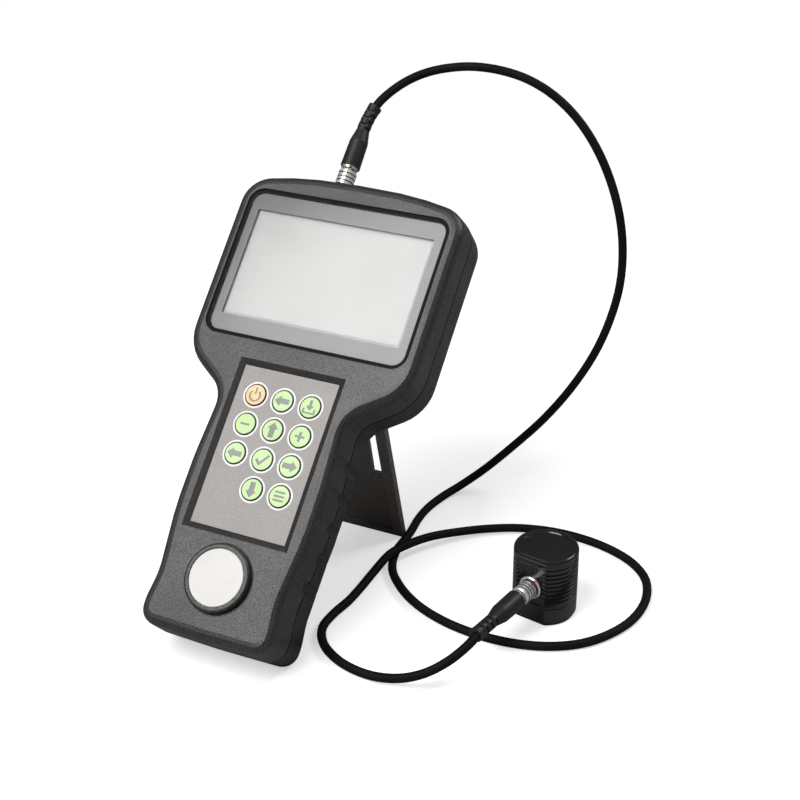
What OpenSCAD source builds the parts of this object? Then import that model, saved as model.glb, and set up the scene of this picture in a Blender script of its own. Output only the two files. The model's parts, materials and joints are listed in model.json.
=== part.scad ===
// Hand-held ultrasonic thickness gauge, leaning on its fold-out stand, with a corded probe.
// The case is drawn in its own axes: x across, y along the body, z out of the face.
// placed() leans it back until the heel and the foot of the stand both touch the table.
// The origin is the middle of the heel's flat land, +Z up, +Y towards the stand.

/* [Case] */
// Length of the case from end to end
case_len = 236.4; // [234:0.2:240]
// Width of the head beside the window
head_side = 8.5; // [7.5:0.5:10.5]
// Width of the grip at its widest
grip_w = 75.2; // [74:0.2:78]
// Thickness of the case at the head
case_t = 34; // [33:0.5:37]
// How far the heel stands out behind the back
heel_drop = 5; // [4:0.5:6]
// Wall of both shells
wall = 2.6; // [2.4:0.1:2.8]
// Thickness of the front face
face_t = 3; // [2.8:0.1:3.4]
// Rounding of the front edges
front_round = 5; // [4:0.5:5.5]
// Rounding of the back edges
back_round = 5; // [4:0.5:5.5]
// Depth of the joint line at the head
part_head = 15; // [15:0.5:17]
// Depth of the joint line at the grip
part_grip = 19; // [18:0.5:20]
// Depth of the finger grooves
groove_depth = 1.5; // [0.8:0.1:1.6]
// Spacing of the finger grooves
groove_pitch = 15; // [14:0.5:15.5]

/* [Screen] */
// Width of the window beside the lit area
window_side = 4.65; // [3.65:0.25:5.15]
// Height of the window
window_h = 74.8; // [73:0.2:75]
// Thickness of the window
window_t = 1.5; // [1.2:0.1:1.7]
// Width of the seal round the window
seal_w = 2; // [1.5:0.1:2.2]
// Width of the lit area
view_w = 97.7; // [95:0.1:98]
// Height of the lit area
view_h = 56.9; // [54:0.1:57.5]
// Height of the middle of the screen above the lower end
screen_y = 185.1; // [184.5:0.1:185.5]

/* [Keypad] */
// Distance between neighbouring keys
key_pitch = 15; // [14.4:0.2:15]
// Diameter of a key
key_d = 11.2; // [10:0.2:11.4]
// Travel of a key
key_travel = 0.7; // [0.4:0.1:0.8]
// Width of the keypad panel beside the middles of its outer keys
pad_side = 10.7; // [10:0.1:11]
// Height of the keypad panel beyond the middles of its end keys, as a mean
pad_end = 17.8; // [17:0.1:18]
// Depth of the keypad recess
pad_depth = 1.8; // [1.4:0.1:2]
// Width of the bevel round the keypad
pad_bevel = 2.9; // [2:0.1:3]
// Height of the middle of the keypad above the lower end
pad_y = 92.9; // [92.5:0.1:93.5]

/* [Test disc] */
// Diameter of the test disc
disc_d = 28; // [26:0.5:28.5]
// Thickness of the test disc
disc_t = 4; // [3.6:0.1:4.2]
// Height of the collar round the disc
collar_h = 3.6; // [3:0.1:4]
// Height of the middle of the disc above the lower end
disc_y = 29.6; // [29:0.1:30]

/* [Stand] */
// Width of the stand at its foot
stand_w = 60.6; // [58:0.2:61]
// Width of the stand at its hinge
stand_head_w = 55.2; // [54:0.2:57]
// Length of the stand from its hinge to its foot
stand_len = 112.3; // [110:0.1:112.5]
// Thickness of the stand
stand_t = 4; // [3.8:0.1:4.2]
// Angle between the open stand and the back
open_angle = 58; // [52:1:60]
// Height of the hinge above the lower end of the case
hinge_y = 151.3; // [151:0.1:152]
// Diameter of the hinge pin
pin_d = 2; // [1.6:0.1:2.2]

/* [Plug] */
// Distance of the top socket left of the middle
socket_x = 15; // [12:0.5:16]
// Depth of the top socket's axis behind the face
socket_z = 15; // [14.5:0.5:16]
// Outside diameter of the plug's sleeve
sleeve_d = 9.4; // [9:0.1:9.8]
// Length of the plug's sleeve
sleeve_len = 9.2; // [8.6:0.1:9.4]
// How far the sleeve pulls back to unlock
sleeve_travel = 1; // [0.5:0.1:1.1]
// Length of the bend relief boot
boot_len = 35.6; // [33:0.2:36]
// Diameter of the cable
cable_d = 4.5; // [4.2:0.1:4.8]

/* [Probe] */
// Diameter of the probe
probe_d = 32; // [31:0.5:34]
// Height of the probe
probe_h = 37; // [36:0.5:39]
// Height of the probe's socket above the table
probe_socket_h = 20; // [19:0.5:21]
// Diameter of the probe's magnet
magnet_d = 24; // [20:0.5:24.5]

/* [Hidden] */
$fn = 64;

// Overrun of every cut
cut = 1;
// Clearance between faces that only lie beside each other
gap = 0.1;
// Side clearance of moving pieces
play = 0.3;

// Outline of the case
window_w = view_w + 2 * window_side;
pad_w = 2 * (key_pitch + pad_side);
pad_h = 3 * key_pitch + 2 * pad_end;
head_w = window_w + 2 * head_side;
draft_front = 0.6;
draft_back = 0.8;
arc_step = 10;
end_crown = 0.6;
bottom_r = 9;
bulge_r = 24;
waist_r = 35;
swell_r = 90;
neck_r = 14;
jaw_r = 24;
crown_r = 16;
shoulder_r = 100;
neck_w = 70.8;
waist_w = 68.4;
bottom_w = 71;
bulge_w = 72;
bulge_y = 13;
waist_y = 26;
swell_y = 58;
palm_y = 84;
neck_y = 117.8;
jaw_y = 135.8;
shoulder_drop = 0.6;
crown_drop = 6;
shoulder_w = 60;

// Where the joint line rises from the grip to the head, and where the heel ramps out
part_from_y = 70;
part_to_y = 150;
heel_from_y = 29;
heel_to_y = 38;
lip_h = 1.5;
lip_share = 0.5;
edge_bevel = 0.4;
reveal_w = 0.6;
reveal_d = 0.9;
inner_round = 2;
land_cut = 0.9;

// Finger grooves
groove_r = 4;
groove_first_y = 38.3;
groove_count = 5;
groove_top = 6;

// Screen stack
window_r = 6;
window_sink = 0.2;
seal_sink = 0.7;
view_rim = 1.7;
lcd_t = 3.2;
lcd_rim_w = 7.8;
lcd_rim_h = 10.3;

// Keypad stack
pad_t = 1;
pad_ledge = 3.5;
pad_floor_t = 1.5;
key_proud = 0.5;
key_flange = 0.6;
key_flange_t = 0.9;
key_stem_r = 2;
key_gap = 0.15;
mat_t = 1.4;
mat_rim = 1;
key_rise_share = 1.767;
keys_y = pad_y + key_pitch * key_rise_share;

// Test disc collar
collar_wall = 2.6;
collar_round = 1.3;
collar_groove_w = 0.5;
collar_groove_d = 0.4;
disc_gap = 0.05;
disc_sink = 0.3;

// Fixing screws
screw_r = 1.25;
screw_pass_r = 1.6;
screw_head_r = 2.7;
screw_head_t = 2;
screw_bore_r = 3;
screw_len = 12;
screw_top = 10;
boss_r = 3.5;
sleeve_boss_r = 4.4;
boss_head_x = 46;
boss_head_in = 10.4;
boss_jaw_x = 50;
boss_jaw_y = 142;
boss_grip_x = 27;
boss_grip_y = 12;

// Board and battery
board_t = 1.6;
board_w = 100;
board_tail_w = 46;
board_low_y = 46;
board_neck_y = 150;
board_high_y = 221;
post_r = 2.4;
post_x = 18;
post_low_y = 48.6;
post_high_y = 144.4;
board_screw_r = 0.9;
board_screw_head_r = 1.8;
board_screw_len = 3.4;
board_screw_head_t = 1.2;
shield_size = [42, 30, 4];
shield_at = [-6, 168];
buzzer_r = 6;
buzzer_h = 4.5;
buzzer_at = [34, 172];
driver_size = [30, 14, 6];
driver_at = [-36, 200];
battery_size = [50, 70, 16];
battery_y = 96;
door_ledge = 3;
door_ear = 5.5;
door_t = 1.6;
door_screw_r = 1;
door_screw_head_r = 1.9;
door_screw_head_t = 0.7;
door_screw_len = 4.2;

// Stand
stand_skin = 2.6;
stand_rim = 5;
stand_side_rim = 5.9;
slot_w = 5.8;
slot_x = 17;
slot_low = 43;
slot_high = 12;
stand_head = 8;
hinge_z = case_t - stand_t / 2;
recess_floor = case_t - stand_t - play;
pocket_deep = 3.4;
pocket_floor = hinge_z - pocket_deep;
pocket_len = 7;
nose_t = 1.6;
pin_clear = 0.05;
pin_seat = 1.4;
recess_wall = 2;
floor_t = 2.4;
foot_cut = 0.4;
thumb_r = 11;
thumb_deep = 2.2;
thumb_floor = case_t - thumb_deep;
back_in = case_t - wall;

// Plug and socket, measured along the axis from the panel face
flange_r = 5.9;
flange_t = 1.4;
barrel_r = 4.5;
barrel_len = 12;
socket_bore_r = 3.6;
socket_bore_len = 8;
core_r = 3.3;
core_clear = 0.06;
nose_len = 7;
sleeve_at = 1.6;
sleeve_ribs = 4;
sleeve_rib_w = 1.5;
sleeve_rib_gap = 0.6;
sleeve_rib_d = 0.5;
sleeve_bevel = 0.5;
nut_at = sleeve_at + sleeve_len + sleeve_travel + 2 * gap;
nut_len = 5;
nut_r = 4.3;
nut_notches = 6;
nut_notch_w = 1.4;
nut_notch_l = 0.9;
nut_show = 1.4;
boot_at = nut_at + nut_show;
boot_r = 5.1;
boot_waist_r = 4.8;
boot_neck_r = 3.45;
boot_end_r = 3.6;
boot_body_share = 0.4;
boot_neck_share = 0.58;
boot_end_share = 0.94;
boot_neck_len = boot_len * (1 - boot_neck_share);
boot_bend = 18;
slots = 3;
slot_pitch = 3.9;
slot_len = 1.4;
slot_first = 0.3;
slot_depth = 1.2;

// Probe
probe_at = [122, 97];
probe_turn = -10;
flat_in = 2.2;
sole_t = 2;
sole_in = 1;
cap_t = 4.4;
cap_round = 1.6;
cap_rim = 3.3;
cap_sink = 0.5;
cap_step = 0.9;
cap_step_h = 1.8;
cap_groove = 0.6;
rib_count = 8;
rib_pitch = 2.3;
rib_w = 0.9;
rib_d = 0.7;
rib_first = 3.4;
belt_h = 9.6;
belt_d = 0.4;
probe_wall = 3.7;
coil_t = 1.2;
magnet_h = probe_socket_h - barrel_r - sole_t - coil_t - 2 * gap;
panel_in = 0.5;
panel_w_share = 0.76;
panel_low = 11;
panel_rim = 1.4;

// Route of the cable on and above the table, from the top plug to the probe
route = [
    [-13.4, 181.3, 214.4], [-10.8, 186.2, 218.8], [-6.4, 192.6, 223.4], [-0.6, 198.8, 227.4],
    [7, 204.3, 230.6], [17, 209.2, 232.8], [29, 213, 233.8], [43, 216, 232.6], [57, 218.5, 228.8],
    [70.5, 220.5, 221.5], [82.8, 221.5, 211], [93.2, 222.2, 197.4], [101.5, 222.8, 181.2],
    [107.5, 223.3, 163], [110.6, 223.2, 144], [110.6, 222.4, 124], [107, 220.2, 103.6],
    [100.4, 216.8, 83.4], [90, 212.2, 62.8], [77, 207, 43.4], [62.5, 200.8, 26.4], [49.5, 192, 13],
    [39.5, 181.5, 5.2], [33.5, 169.5, 2.6], [31, 156, 2.3], [31, 143, 2.3], [33.2, 127, 2.3],
    [34.4, 108, 2.3], [40, 92.2, 2.3], [49.5, 80.8, 2.3], [60.5, 72, 2.3], [73, 65.5, 2.3],
    [87.5, 61, 2.3], [103.5, 59, 2.3], [120, 60, 2.3], [136, 64.8, 2.3], [150, 74, 2.3],
    [160, 87.5, 2.3], [166, 104, 2.3], [166.5, 122, 2.3], [161, 139, 2.3], [150, 151, 2.3],
    [135, 158.5, 2.3], [118.5, 162, 2.3], [101.5, 161.8, 2.3], [84.5, 157.5, 2.3], [70, 149, 2.8],
    [58, 137, 4.4], [48, 123.2, 6.6], [41, 110.3, 7.4], [36, 97.2, 7.2], [33.8, 83, 4],
    [33.2, 70, 2.4], [33, 57, 2.3], [31.5, 44.5, 2.3], [32, 32, 2.3], [37.5, 21.8, 2.3],
    [46.2, 14.5, 2.3], [57.8, 9.5, 2.3], [71.3, 7.8, 2.6], [85, 8.2, 5.4], [96.5, 11.5, 9.8],
    [105, 18, 14.7], [110.2, 27, 18.5], [112, 36, 20]
];
cable_sides = 10;
rings_per_span = 1;

// Rounded corners of a path: each vertex is [x, y, radius], and each point comes back
// with its outward normal as [x, y, nx, ny]
function heading(a, b) = atan2(b[1] - a[1], b[0] - a[0]);
function wrap(a) = a > 180 ? a - 360 : a < -180 ? a + 360 : a;
function corner(a, b, c) =
    let (
        h0 = heading(a, b),
        turn = wrap(heading(b, c) - h0),
        side = turn > 0 ? 1 : -1,
        reach = b[2] * tan(abs(turn) / 2),
        start = [b[0] - reach * cos(h0), b[1] - reach * sin(h0)],
        centre = [start[0] - side * b[2] * sin(h0), start[1] + side * b[2] * cos(h0)],
        steps = max(1, ceil(abs(turn) / arc_step))
    )
    [for (i = [0:steps])
        let (h = h0 + turn * i / steps)
        [centre[0] + side * b[2] * sin(h), centre[1] - side * b[2] * cos(h), sin(h), -cos(h)]];

corners = [
    [0, 0, 0],
    [bottom_w / 2, end_crown, bottom_r],
    [bulge_w / 2, bulge_y, bulge_r],
    [waist_w / 2, waist_y, waist_r],
    [grip_w / 2, swell_y, swell_r],
    [grip_w / 2, palm_y, swell_r],
    [neck_w / 2, neck_y, neck_r],
    [head_w / 2, jaw_y, jaw_r],
    [head_w / 2, case_len - crown_drop, crown_r],
    [shoulder_w / 2, case_len - shoulder_drop, shoulder_r],
    [0, case_len, 0]
];
half_outline = concat(
    [[0, 0, 0, -1]],
    [for (i = [1:len(corners) - 2], p = corner(corners[i - 1], corners[i], corners[i + 1])) p],
    [[0, case_len, 0, 1]]
);
half_n = len(half_outline);
outline = concat(
    half_outline,
    [for (i = [half_n - 2:-1:1])
        let (p = half_outline[i]) [-p[0], p[1], -p[2], p[3]]]
);
ring_n = len(outline);

// Half width of the case at a height
function side_x(y) = lookup(y, [for (p = half_outline) if (p[2] > 0) [p[1], p[0]]]);

// Depth of the joint line and of the back at a height
function ease(t) = let (s = min(1, max(0, t))) s * s * (3 - 2 * s);
function joint_z(y) =
    -part_grip + (part_grip - part_head) * ease((y - part_from_y) / (part_to_y - part_from_y));
function heel_z(y) = heel_drop * ease((heel_to_y - y) / (heel_to_y - heel_from_y));

// One ring of a shell: the outline drawn in by an inset, at a depth that follows the case.
// A level of [inset, depth, joint share, heel share] mixes a flat depth with both surfaces
function ring(level) = [for (p = outline)
    [p[0] - level[0] * p[2], p[1] - level[0] * p[3],
        level[1] + level[2] * joint_z(p[1]) - level[3] * heel_z(p[1])]];

// Closed skin through a list of rings, capped across at both ends
module loft(levels) {
    rings = [for (l = levels) ring(l)];
    n = ring_n;
    m = len(levels);
    points = [for (r = rings, p = r) p];
    sides = [for (k = [0:m - 2], i = [0:n - 1])
        let (j = (i + 1) % n)
        each [[k * n + i, k * n + j, (k + 1) * n + j], [k * n + i, (k + 1) * n + j, (k + 1) * n + i]]];
    first = cap(0, n);
    last = [for (f = cap((m - 1) * n, n)) [for (i = [len(f) - 1:-1:0]) f[i]]];
    polyhedron(points = points, faces = concat(sides, first, last), convexity = 10);
}

// Cap made of strips across the case, from a ring's first point to its middle one
function cap(at, n) = let (h = half_n - 1) concat(
    [[at + 1, at, at + n - 1]],
    [for (i = [1:h - 2]) each [
        [at + i + 1, at + i, at + n - i],
        [at + i + 1, at + n - i, at + n - i - 1]]],
    [[at + h, at + h - 1, at + h + 1]]
);

function reversed(list) = [for (i = [len(list) - 1:-1:0]) list[i]];
function rounding(r, inset, from, sign) = [for (a = [0:22.5:90])
    [inset + r * (1 - cos(a)), from + sign * r * sin(a)]];

// Levels of the front shell, from the face down to the joint, and up again inside
lip_in = wall * lip_share;
front_levels = concat(
    [for (p = reversed(rounding(front_round, draft_front, -front_round, 1))) [p[0], p[1], 0, 0]],
    [
        [0, 0, 1, 0],
        [lip_in, 0, 1, 0],
        [lip_in, lip_h + gap, 1, 0],
        [wall, lip_h + gap, 1, 0],
        [wall + gap, -face_t - inner_round, 0, 0],
        [wall + inner_round, -face_t, 0, 0]
    ]
);
// Levels of the rear shell, from inside the back, up to the joint, and out to the back
back_levels = concat(
    [
        [wall + inner_round, -back_in, 0, 0],
        [wall + gap, -back_in + inner_round, 0, 0],
        [wall, lip_h, 1, 0],
        [lip_in + gap, lip_h, 1, 0],
        [lip_in + gap, -gap, 1, 0],
        [reveal_d, -gap, 1, 0],
        [reveal_d, -gap - reveal_w, 1, 0],
        [0, -gap - reveal_w, 1, 0]
    ],
    [for (p = rounding(back_round, draft_back, -case_t + back_round, -1)) [p[0], p[1], 0, 1]]
);
// Outer skins alone, to hold the inner blocks inside the shells
front_skin = concat(
    [for (p = reversed(rounding(front_round, draft_front + gap, -front_round - gap, 1)))
        [p[0], p[1], 0, 0]],
    [[lip_in, 0, 1, 0]]);
back_skin = concat([[wall, -gap, 1, 0]],
    [for (p = rounding(back_round, draft_back + gap, -case_t + back_round + gap, -1)) [p[0], p[1], 0, 1]]);

// Flat shapes
module rounded(w, h, r) {
    square([w, h - 2 * r], center = true);
    square([w - 2 * r, h], center = true);
    for (x = [-1, 1], y = [-1, 1]) translate([x * (w / 2 - r), y * (h / 2 - r)]) circle(r);
}
module plate(w, h, t, r) {
    linear_extrude(t) rounded(w, h, r);
}
module block(size, at) {
    translate([at[0] - size[0] / 2, at[1] - size[1] / 2, at[2]]) cube(size);
}
// Straight-sided pocket with mitred bevels
module bevelled(w, h, depth, bevel) {
    intersection() {
        translate([0, h / 2 + bevel, 0]) rotate([90, 0, 0]) linear_extrude(h + 2 * bevel)
            wedge(w, depth, bevel);
        translate([-w / 2 - bevel, 0, 0]) rotate([90, 0, 90]) linear_extrude(w + 2 * bevel)
            wedge(h, depth, bevel);
    }
}
module wedge(w, depth, bevel) {
    polygon([[-w / 2, -depth], [w / 2, -depth], [w / 2 + bevel, 0], [w / 2 + bevel, cut],
        [-w / 2 - bevel, cut], [-w / 2 - bevel, 0]]);
}

// Places in the case
boss_places = [
    [boss_head_x, case_len - boss_head_in], [boss_jaw_x, boss_jaw_y], [boss_grip_x, boss_grip_y]
];
module at_bosses() {
    for (p = boss_places, s = [-1, 1]) translate([s * p[0], p[1], 0]) children();
}
module at_posts() {
    for (x = [-1, 1], y = [post_low_y, post_high_y]) translate([x * post_x, y, 0]) children();
}
module finger_grooves() {
    for (i = [0:groove_count - 1], s = [-1, 1])
        let (y = groove_first_y + i * groove_pitch)
        translate([s * (side_x(y) + groove_r - groove_depth), y, -groove_top]) rotate_extrude()
        polygon(concat([for (a = [90:-22.5:0]) [groove_r * cos(a), groove_r * sin(a)]],
            [[groove_r, -case_t - heel_drop], [0, -case_t - heel_drop]]));
}

// Lean of the case, worked out from the heel's rounding and the stand's foot
heel_at = [draft_back + back_round, -case_t - heel_drop + back_round];
heel_r = back_round - land_cut;
foot_r = stand_t / 2;
foot_at = [hinge_y - (stand_len - foot_r) * cos(open_angle),
    -hinge_z - (stand_len - foot_r) * sin(open_angle)];
reach = foot_at - heel_at;
lean = -atan2(reach[1], reach[0]) - asin((heel_r - foot_r + foot_cut) / norm(reach));
shift_y = heel_at[1] * sin(lean) - heel_at[0] * cos(lean);
shift_z = heel_r - heel_at[0] * sin(lean) - heel_at[1] * cos(lean);
module placed() {
    translate([0, shift_y, shift_z]) rotate([lean, 0, 0]) children();
}
module below_table() {
    translate([-head_w, -case_len, -case_len]) cube([head_w * 2, case_len * 2, case_len]);
}

// Case
pad_back = pad_depth + pad_t;
module front_shell() {
    color([0.31, 0.31, 0.31]) placed() difference() {
        union() {
            loft(front_levels);
            front_inside();
            translate([0, disc_y, 0]) collar();
        }
        translate([0, disc_y, -collar_groove_d]) difference() {
            cylinder(r = collar_r + collar_groove_w, h = collar_groove_d + cut);
            cylinder(r = collar_r, h = collar_groove_d + cut);
        }
        window_cut();
        keypad_cut();
        translate([0, disc_y, collar_h - disc_t - disc_sink])
            cylinder(r = disc_d / 2 + disc_gap, h = disc_t + cut);
        at_bosses() translate([0, 0, -screw_len - screw_top - cut])
            cylinder(r = screw_r, h = screw_len + cut + screw_top / 2);
        at_posts() translate([0, 0, -face_t - lcd_t - cut])
            cylinder(r = board_screw_r, h = board_screw_len - board_t + cut);
        socket_hole();
        finger_grooves();
    }
}
collar_r = disc_d / 2 + collar_wall;
module collar() {
    rotate_extrude() polygon(concat(
        [[disc_d / 4, -face_t / 2], [collar_r, -face_t / 2]],
        [for (a = [0:15:90]) [collar_r - collar_round * (1 - cos(a)),
            collar_h - collar_round * (1 - sin(a))]],
        [[disc_d / 4, collar_h]]
    ));
}
module front_inside() {
    translate([0, pad_y, -pad_back - pad_floor_t])
        block([pad_w + 2 * wall, pad_h + 2 * wall, pad_floor_t + pad_back - face_t / 2], [0, 0, 0]);
    at_bosses() translate([0, 0, -part_head + gap]) cylinder(r = boss_r, h = part_head - face_t / 2);
    at_posts() translate([0, 0, -face_t - lcd_t]) cylinder(r = post_r, h = lcd_t + face_t / 2);
    intersection() {
        loft(front_skin);
        socket_block();
    }
}
module window_cut() {
    translate([0, screen_y, -window_t - window_sink])
        plate(window_w + 2 * seal_w, window_h + 2 * seal_w, window_t + window_sink + cut, window_r + seal_w);
    translate([0, screen_y, -face_t - cut])
        plate(view_w + 2 * view_rim, view_h + 2 * view_rim, face_t + cut, view_rim);
}
module keypad_cut() {
    translate([0, pad_y, 0]) {
        bevelled(pad_w + 2 * gap, pad_h + 2 * gap, pad_depth, pad_bevel);
        block([pad_w + 2 * gap, pad_h + 2 * gap, pad_back], [0, 0, -pad_back]);
        block([pad_w - 2 * pad_ledge, pad_h - 2 * pad_ledge, pad_back + pad_floor_t + cut],
            [0, 0, -pad_back - pad_floor_t - cut]);
    }
}
module socket_hole() {
    translate([-socket_x, case_len, -socket_z]) rotate([90, 0, 0])
        translate([0, 0, -crown_drop]) cylinder(r = barrel_r + disc_gap, h = crown_drop + barrel_len);
    translate([-socket_x, case_len - shoulder_drop, -socket_z]) rotate([-90, 0, 0])
        cylinder(r = flange_r + gap, h = crown_drop);
}
module socket_block() {
    translate([-socket_x, case_len, -socket_z]) rotate([90, 0, 0])
        cylinder(r = barrel_r + wall, h = wall * 2);
}

module rear_shell() {
    color([0.25, 0.25, 0.26]) difference() {
        placed() difference() {
            union() {
                loft(back_levels);
                rear_inside();
            }
            stand_recess();
            battery_cut();
            at_bosses() {
                translate([0, 0, -case_t - heel_drop - cut])
                    cylinder(r = screw_bore_r, h = case_t + heel_drop - screw_len - screw_top + cut);
                translate([0, 0, -case_t]) cylinder(r = screw_pass_r, h = case_t);
            }
            socket_hole();
            finger_grooves();
        }
        below_table();
    }
}
block_top = recess_floor - floor_t;
module rear_inside() {
    intersection() {
        loft(back_skin);
        union() {
            block([stand_w + 2 * play + 2 * recess_wall, stand_len + thumb_r + 2 * pocket_len,
                case_t - block_top], [0, hinge_y - (stand_len + thumb_r) / 2, -case_t]);
            block([stand_w + 2 * play + 2 * recess_wall, 3 * pocket_len,
                case_t - pocket_floor + floor_t], [0, hinge_y, -case_t]);
            socket_block();
        }
    }
    at_bosses() translate([0, 0, -case_t + back_round])
        cylinder(r = sleeve_boss_r, h = case_t - back_round - part_head - gap);
    at_bosses() translate([0, 0, -back_in - gap])
        cylinder(r = sleeve_boss_r, h = back_round);
}
module stand_recess() {
    low = hinge_y - stand_len - play;
    top = hinge_y + stand_t;
    w = stand_head_w + 2 * play;
    translate([0, hinge_y, -case_t - heel_drop - cut])
        linear_extrude(case_t + heel_drop + cut - recess_floor)
        stand_outline(-play, -stand_len - play, stand_t);
    translate([-w / 2, top - pocket_len, -recess_floor - cut])
        cube([w, pocket_len, recess_floor - pocket_floor + cut]);
    translate([0, low, -case_t - heel_drop - cut])
        cylinder(r = thumb_r, h = heel_drop + cut + case_t - thumb_floor);
    pin_shape();
}
door_w = battery_size[0] + 2 * door_ledge;
door_h = battery_size[1] + 2 * door_ear;
module battery_cut() {
    translate([0, battery_y, -recess_floor - gap]) {
        block([battery_size[0] + 2 * play, battery_size[1] + 2 * play, battery_size[2]], [0, 0, -cut]);
        block([door_w + 2 * gap, door_h + 2 * gap, door_t + 2 * gap + cut], [0, 0, -cut - gap]);
        for (s = [-1, 1]) translate([0, s * (door_h / 2 - door_ear / 2), 0])
            cylinder(r = door_screw_r, h = door_screw_len + cut);
    }
}
module battery_door() {
    color([0.2, 0.2, 0.21]) placed() translate([0, battery_y, -recess_floor]) difference() {
        block([door_w, door_h, door_t], [0, 0, 0]);
        for (s = [-1, 1]) translate([0, s * (door_h / 2 - door_ear / 2), 0]) {
            translate([0, 0, -cut]) cylinder(r = door_screw_r + gap, h = door_t + 2 * cut);
            translate([0, 0, -cut]) cylinder(r = door_screw_head_r + gap, h = cut + door_screw_head_t);
        }
    }
}
module door_screws() {
    color([0.6, 0.6, 0.6]) placed() translate([0, battery_y, -recess_floor])
        for (s = [-1, 1]) translate([0, s * (door_h / 2 - door_ear / 2), 0]) {
            cylinder(r = door_screw_head_r, h = door_screw_head_t);
            cylinder(r = door_screw_r, h = door_screw_len);
        }
}
module battery_pack() {
    color([0.2, 0.35, 0.6]) placed()
        translate([0, battery_y, -recess_floor + door_t])
        block(battery_size, [0, 0, 0]);
}
module case_screws() {
    color([0.35, 0.35, 0.36]) placed() at_bosses() translate([0, 0, -screw_len - screw_top]) {
        cylinder(r = screw_r, h = screw_len);
        difference() {
            translate([0, 0, -screw_head_t]) cylinder(r = screw_head_r, h = screw_head_t);
            translate([0, 0, -screw_head_t - cut]) cylinder(r = screw_r, h = cut + screw_head_t / 2, $fn = 6);
        }
    }
}

// Screen
module window() {
    color([0.6, 0.6, 0.62]) placed() translate([0, screen_y, -window_t - window_sink])
        plate(window_w, window_h, window_t, window_r);
}
module window_seal() {
    color([0.05, 0.05, 0.05]) placed() translate([0, screen_y, -window_t - window_sink])
        linear_extrude(window_t + window_sink - seal_sink) difference() {
            rounded(window_w + 2 * seal_w, window_h + 2 * seal_w, window_r + seal_w);
            rounded(window_w, window_h, window_r);
        }
}
module lcd_module() {
    color([0.85, 0.87, 0.88]) placed() translate([0, screen_y, -face_t - lcd_t])
        block([view_w + lcd_rim_w, view_h + lcd_rim_h, lcd_t], [0, 0, 0]);
}
module main_board() {
    color([0.1, 0.4, 0.25]) placed() translate([0, 0, -face_t - lcd_t - board_t]) {
        difference() {
            union() {
                translate([-board_w / 2, board_neck_y, 0])
                    cube([board_w, board_high_y - board_neck_y, board_t]);
                translate([-board_tail_w / 2, board_low_y, 0])
                    cube([board_tail_w, board_neck_y - board_low_y, board_t]);
            }
            at_posts() translate([0, 0, -cut]) cylinder(r = board_screw_r + gap, h = board_t + 2 * cut);
        }
        block(shield_size, [shield_at[0], shield_at[1], -shield_size[2]]);
        block(driver_size, [driver_at[0], driver_at[1], -driver_size[2]]);
        translate([buzzer_at[0], buzzer_at[1], -buzzer_h]) cylinder(r = buzzer_r, h = buzzer_h);
    }
}
module board_screws() {
    color([0.7, 0.7, 0.7]) placed() at_posts() translate([0, 0, -face_t - lcd_t - board_t]) {
        cylinder(r = board_screw_r, h = board_screw_len);
        translate([0, 0, -board_screw_head_t]) cylinder(r = board_screw_head_r, h = board_screw_head_t);
    }
}

// Keypad: eleven keys on a grid, the lower left place is empty
key_places = [for (r = [0:3], c = [-1:1]) if (r < 3 || c > -1)
    [c * key_pitch, keys_y - r * key_pitch]];
pad_face = -pad_depth;
module keypad_panel() {
    color([0.67, 0.66, 0.64]) placed() difference() {
        translate([0, pad_y, pad_face - pad_t]) block([pad_w, pad_h, pad_t], [0, 0, 0]);
        for (p = key_places) translate([p[0], p[1], pad_face - pad_t - cut])
            cylinder(r = key_d / 2 + key_gap, h = pad_t + 2 * cut);
    }
}
mat_back = -face_t - lcd_t;
mat_face = mat_back + mat_t;
module key_mat() {
    color([0.75, 0.75, 0.73]) placed() difference() {
        translate([0, pad_y, mat_back])
            block([board_tail_w - mat_rim, pad_h - 2 * pad_ledge - mat_rim, mat_t], [0, 0, 0]);
        for (p = key_places) translate([p[0], p[1], mat_back - cut])
            cylinder(r = key_stem_r + play, h = mat_t + 2 * cut);
    }
}
module key(index, shade) {
    p = key_places[index];
    flange_at = pad_face - pad_t;
    stem_at = mat_back + key_travel + gap;
    color(shade) placed() translate([p[0], p[1], 0]) rotate_extrude() polygon([
        [0, pad_face + key_proud],
        [key_d / 2 - edge_bevel, pad_face + key_proud],
        [key_d / 2, pad_face + key_proud - edge_bevel],
        [key_d / 2, flange_at],
        [key_d / 2 + key_flange, flange_at],
        [key_d / 2 + key_flange, flange_at - key_flange_t],
        [key_stem_r, flange_at - key_flange_t],
        [key_stem_r, stem_at],
        [0, stem_at]
    ]);
}
amber = [0.93, 0.72, 0.45];
green = [0.72, 0.88, 0.58];
module key_power() { key(0, amber); }
module key_back() { key(1, green); }
module key_store() { key(2, green); }
module key_minus() { key(3, green); }
module key_up() { key(4, green); }
module key_plus() { key(5, green); }
module key_left() { key(6, green); }
module key_enter() { key(7, green); }
module key_right() { key(8, green); }
module key_down() { key(9, green); }
module key_menu() { key(10, green); }

module test_disc() {
    color([0.95, 0.94, 0.92]) placed() translate([0, disc_y, collar_h - disc_t - disc_sink])
        rotate_extrude() polygon([
            [0, 0], [disc_d / 2, 0], [disc_d / 2, disc_t - edge_bevel],
            [disc_d / 2 - edge_bevel, disc_t], [0, disc_t]
        ]);
}

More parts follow.
